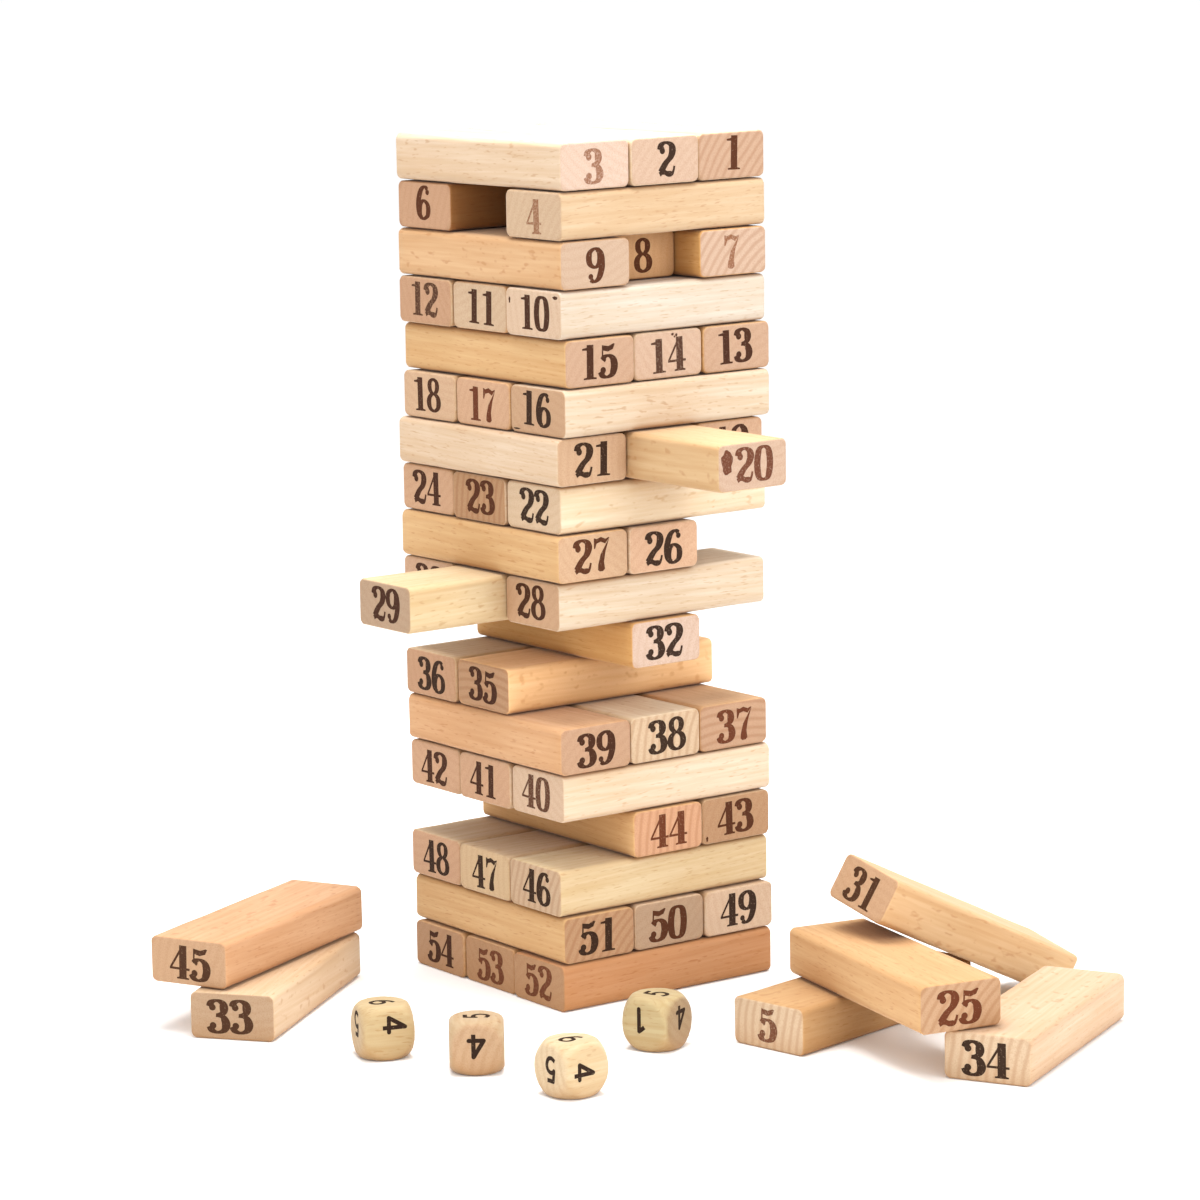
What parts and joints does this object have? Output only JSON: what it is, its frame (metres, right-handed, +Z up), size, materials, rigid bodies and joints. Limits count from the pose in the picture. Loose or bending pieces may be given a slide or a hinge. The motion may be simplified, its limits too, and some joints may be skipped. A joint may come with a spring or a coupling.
{
  "type": "tumbling tower game",
  "caption": "Tower of numbered wooden blocks in crossed layers of three, some pulled out or lying at its foot, with numbered wooden dice.",
  "frame": {"origin": "on the table, under the middle of the tower", "axes": "+Z up; -Y and -X are the two sides that show numbered block ends"},
  "size_m": [0.2212, 0.2364, 0.2463],
  "materials": {
    "beech_cream": "sanded, unvarnished",
    "beech_pale": "sanded, unvarnished",
    "beech_honey": "sanded, unvarnished",
    "beech_tan": "sanded, unvarnished",
    "beech_peach": "sanded, unvarnished",
    "beech_copper": "sanded, unvarnished",
    "dice_wood": "sanded, unvarnished"
  },
  "bodies": {
    "block_01": {"block_01": "beech_copper"},
    "block_02": {"block_02": "beech_cream"},
    "block_03": {"block_03": "beech_cream"},
    "block_04": {"block_04": "beech_cream"},
    "block_05": {"block_05": "beech_tan"},
    "block_06": {"block_06": "beech_cream"},
    "block_07": {"block_07": "beech_peach"},
    "block_08": {"block_08": "beech_cream"},
    "block_09": {"block_09": "beech_honey"},
    "block_10": {"block_10": "beech_pale"},
    "block_11": {"block_11": "beech_cream"},
    "block_12": {"block_12": "beech_honey"},
    "block_13": {"block_13": "beech_pale"},
    "block_14": {"block_14": "beech_peach"},
    "block_15": {"block_15": "beech_tan"},
    "block_16": {"block_16": "beech_pale"},
    "block_17": {"block_17": "beech_cream"},
    "block_18": {"block_18": "beech_cream"},
    "block_19": {"block_19": "beech_tan"},
    "block_20": {"block_20": "beech_honey"},
    "block_21": {"block_21": "beech_cream"},
    "block_22": {"block_22": "beech_pale"},
    "block_23": {"block_23": "beech_cream"},
    "block_24": {"block_24": "beech_cream"},
    "block_25": {"block_25": "beech_honey"},
    "block_26": {"block_26": "beech_tan"},
    "block_27": {"block_27": "beech_honey"},
    "block_28": {"block_28": "beech_pale"},
    "block_29": {"block_29": "beech_honey"},
    "block_30": {"block_30": "beech_cream"},
    "block_31": {"block_31": "beech_honey"},
    "block_32": {"block_32": "beech_tan"},
    "block_33": {"block_33": "beech_peach"},
    "block_34": {"block_34": "beech_pale"},
    "block_35": {"block_35": "beech_peach"},
    "block_36": {"block_36": "beech_tan"},
    "block_37": {"block_37": "beech_cream"},
    "block_38": {"block_38": "beech_cream"},
    "block_39": {"block_39": "beech_peach"},
    "block_40": {"block_40": "beech_peach"},
    "block_41": {"block_41": "beech_cream"},
    "block_42": {"block_42": "beech_cream"},
    "block_43": {"block_43": "beech_cream"},
    "block_44": {"block_44": "beech_tan"},
    "block_45": {"block_45": "beech_peach"},
    "block_46": {"block_46": "beech_pale"},
    "block_47": {"block_47": "beech_cream"},
    "block_48": {"block_48": "beech_pale"},
    "block_49": {"block_49": "beech_cream"},
    "block_50": {"block_50": "beech_tan"},
    "block_51": {"block_51": "beech_honey"},
    "block_52": {"block_52": "beech_copper"},
    "block_53": {"block_53": "beech_copper"},
    "block_54": {"block_54": "beech_cream"},
    "die_1": {"die_1": "dice_wood"},
    "die_2": {"die_2": "dice_wood"},
    "die_3": {"die_3": "dice_wood"},
    "die_4": {"die_4": "dice_wood"}
  },
  "joints": [
    {"name": "pull_20", "type": "slide", "parent": "block_53", "child": "block_20", "axis": [-0.0087, 1, 0], "range_m": [-0.0365, 0.1155]},
    {"name": "pull_29", "type": "slide", "parent": "block_53", "child": "block_29", "axis": [1, -0.0017, 0], "range_m": [-0.0425, 0.1095]},
    {"name": "pull_08", "type": "slide", "parent": "block_53", "child": "block_08", "axis": [-0.0227, 0.9997, 0], "range_m": [-0.0865, 0.0655]},
    {"name": "lift_45", "type": "slide", "parent": "block_33", "child": "block_45", "axis": [0, 0, 1], "range_m": [0, 0.08]},
    {"name": "lift_33", "type": "slide", "parent": "block_53", "child": "block_33", "axis": [0, 0, 1], "range_m": [0, 0.08]},
    {"name": "lift_31", "type": "slide", "parent": "block_25", "child": "block_31", "axis": [0, 0, 1], "range_m": [0, 0.08]},
    {"name": "lift_25", "type": "slide", "parent": "block_05", "child": "block_25", "axis": [0, 0, 1], "range_m": [0, 0.08]},
    {"name": "lift_05", "type": "slide", "parent": "block_53", "child": "block_05", "axis": [0, 0, 1], "range_m": [0, 0.08]},
    {"name": "slide_34", "type": "slide", "parent": "block_53", "child": "block_34", "axis": [0.898, 0.4399, 0], "range_m": [-0.06, 0]},
    {"name": "lift_die_1", "type": "slide", "parent": "block_53", "child": "die_1", "axis": [0, 0, 1], "range_m": [0, 0.08]},
    {"name": "lift_die_2", "type": "slide", "parent": "block_53", "child": "die_2", "axis": [0, 0, 1], "range_m": [0, 0.08]},
    {"name": "lift_die_3", "type": "slide", "parent": "block_53", "child": "die_3", "axis": [0, 0, 1], "range_m": [0, 0.08]},
    {"name": "lift_die_4", "type": "slide", "parent": "block_53", "child": "die_4", "axis": [0, 0, 1], "range_m": [0, 0.08]},
    {"name": "pull_01", "type": "slide", "parent": "block_53", "child": "block_01", "axis": [-0.0297, 0.9996, 0], "range_m": [-0.076, 0.076]},
    {"name": "pull_02", "type": "slide", "parent": "block_53", "child": "block_02", "axis": [-0.0297, 0.9996, 0], "range_m": [-0.076, 0.076]},
    {"name": "pull_03", "type": "slide", "parent": "block_53", "child": "block_03", "axis": [-0.0297, 0.9996, 0], "range_m": [-0.076, 0.076]},
    {"name": "pull_04", "type": "slide", "parent": "block_53", "child": "block_04", "axis": [0.9997, 0.0262, 0], "range_m": [-0.076, 0.076]},
    {"name": "pull_06", "type": "slide", "parent": "block_53", "child": "block_06", "axis": [0.9997, 0.0262, 0], "range_m": [-0.076, 0.076]},
    {"name": "pull_07", "type": "slide", "parent": "block_53", "child": "block_07", "axis": [-0.0227, 0.9997, 0], "range_m": [-0.076, 0.076]},
    {"name": "pull_09", "type": "slide", "parent": "block_53", "child": "block_09", "axis": [-0.0227, 0.9997, 0], "range_m": [-0.076, 0.076]},
    {"name": "pull_10", "type": "slide", "parent": "block_53", "child": "block_10", "axis": [0.9998, 0.0192, 0], "range_m": [-0.076, 0.076]},
    {"name": "pull_11", "type": "slide", "parent": "block_53", "child": "block_11", "axis": [0.9998, 0.0192, 0], "range_m": [-0.076, 0.076]},
    {"name": "pull_12", "type": "slide", "parent": "block_53", "child": "block_12", "axis": [0.9998, 0.0192, 0], "range_m": [-0.076, 0.076]},
    {"name": "pull_13", "type": "slide", "parent": "block_53", "child": "block_13", "axis": [-0.0157, 0.9999, 0], "range_m": [-0.076, 0.076]},
    {"name": "pull_14", "type": "slide", "parent": "block_53", "child": "block_14", "axis": [-0.0157, 0.9999, 0], "range_m": [-0.076, 0.076]},
    {"name": "pull_15", "type": "slide", "parent": "block_53", "child": "block_15", "axis": [-0.0157, 0.9999, 0], "range_m": [-0.076, 0.076]},
    {"name": "pull_16", "type": "slide", "parent": "block_53", "child": "block_16", "axis": [0.9999, 0.0122, 0], "range_m": [-0.076, 0.076]},
    {"name": "pull_17", "type": "slide", "parent": "block_53", "child": "block_17", "axis": [0.9999, 0.0122, 0], "range_m": [-0.076, 0.076]},
    {"name": "pull_18", "type": "slide", "parent": "block_53", "child": "block_18", "axis": [0.9999, 0.0122, 0], "range_m": [-0.076, 0.076]},
    {"name": "pull_19", "type": "slide", "parent": "block_53", "child": "block_19", "axis": [-0.0087, 1, 0], "range_m": [-0.076, 0.076]},
    {"name": "pull_21", "type": "slide", "parent": "block_53", "child": "block_21", "axis": [-0.0087, 1, 0], "range_m": [-0.076, 0.076]},
    {"name": "pull_22", "type": "slide", "parent": "block_53", "child": "block_22", "axis": [1, 0.0052, 0], "range_m": [-0.076, 0.076]},
    {"name": "pull_23", "type": "slide", "parent": "block_53", "child": "block_23", "axis": [1, 0.0052, 0], "range_m": [-0.076, 0.076]},
    {"name": "pull_24", "type": "slide", "parent": "block_53", "child": "block_24", "axis": [1, 0.0052, 0], "range_m": [-0.076, 0.076]},
    {"name": "pull_26", "type": "slide", "parent": "block_53", "child": "block_26", "axis": [-0.0017, 1, 0], "range_m": [-0.076, 0.076]},
    {"name": "pull_27", "type": "slide", "parent": "block_53", "child": "block_27", "axis": [-0.0017, 1, 0], "range_m": [-0.076, 0.076]},
    {"name": "pull_28", "type": "slide", "parent": "block_53", "child": "block_28", "axis": [1, -0.0017, 0], "range_m": [-0.076, 0.076]},
    {"name": "pull_30", "type": "slide", "parent": "block_53", "child": "block_30", "axis": [1, -0.0017, 0], "range_m": [-0.076, 0.076]},
    {"name": "pull_32", "type": "slide", "parent": "block_53", "child": "block_32", "axis": [0.0052, 1, 0], "range_m": [-0.076, 0.076]},
    {"name": "pull_35", "type": "slide", "parent": "block_53", "child": "block_35", "axis": [1, -0.0087, 0], "range_m": [-0.076, 0.076]},
    {"name": "pull_36", "type": "slide", "parent": "block_53", "child": "block_36", "axis": [1, -0.0087, 0], "range_m": [-0.076, 0.076]},
    {"name": "pull_37", "type": "slide", "parent": "block_53", "child": "block_37", "axis": [0.0122, 0.9999, 0], "range_m": [-0.076, 0.076]},
    {"name": "pull_38", "type": "slide", "parent": "block_53", "child": "block_38", "axis": [0.0122, 0.9999, 0], "range_m": [-0.076, 0.076]},
    {"name": "pull_39", "type": "slide", "parent": "block_53", "child": "block_39", "axis": [0.0122, 0.9999, 0], "range_m": [-0.076, 0.076]},
    {"name": "pull_40", "type": "slide", "parent": "block_53", "child": "block_40", "axis": [0.9999, -0.0157, 0], "range_m": [-0.076, 0.076]},
    {"name": "pull_41", "type": "slide", "parent": "block_53", "child": "block_41", "axis": [0.9999, -0.0157, 0], "range_m": [-0.076, 0.076]},
    {"name": "pull_42", "type": "slide", "parent": "block_53", "child": "block_42", "axis": [0.9999, -0.0157, 0], "range_m": [-0.076, 0.076]},
    {"name": "pull_43", "type": "slide", "parent": "block_53", "child": "block_43", "axis": [0.0192, 0.9998, 0], "range_m": [0, 0.076]},
    {"name": "pull_44", "type": "slide", "parent": "block_53", "child": "block_44", "axis": [0.0192, 0.9998, 0], "range_m": [0, 0.076]},
    {"name": "pull_46", "type": "slide", "parent": "block_53", "child": "block_46", "axis": [0.9997, -0.0227, 0], "range_m": [-0.076, 0.076]},
    {"name": "pull_47", "type": "slide", "parent": "block_53", "child": "block_47", "axis": [0.9997, -0.0227, 0], "range_m": [-0.076, 0.076]},
    {"name": "pull_48", "type": "slide", "parent": "block_53", "child": "block_48", "axis": [0.9997, -0.0227, 0], "range_m": [-0.076, 0.076]},
    {"name": "pull_49", "type": "slide", "parent": "block_53", "child": "block_49", "axis": [0.0262, 0.9997, 0], "range_m": [0, 0.076]},
    {"name": "pull_50", "type": "slide", "parent": "block_53", "child": "block_50", "axis": [0.0262, 0.9997, 0], "range_m": [0, 0.076]},
    {"name": "pull_51", "type": "slide", "parent": "block_53", "child": "block_51", "axis": [0.0262, 0.9997, 0], "range_m": [0, 0.076]},
    {"name": "pull_52", "type": "slide", "parent": "block_53", "child": "block_52", "axis": [0.9996, -0.0297, 0], "range_m": [0, 0.076]},
    {"name": "pull_54", "type": "slide", "parent": "block_53", "child": "block_54", "axis": [0.9996, -0.0297, 0], "range_m": [0, 0.076]}
  ]
}
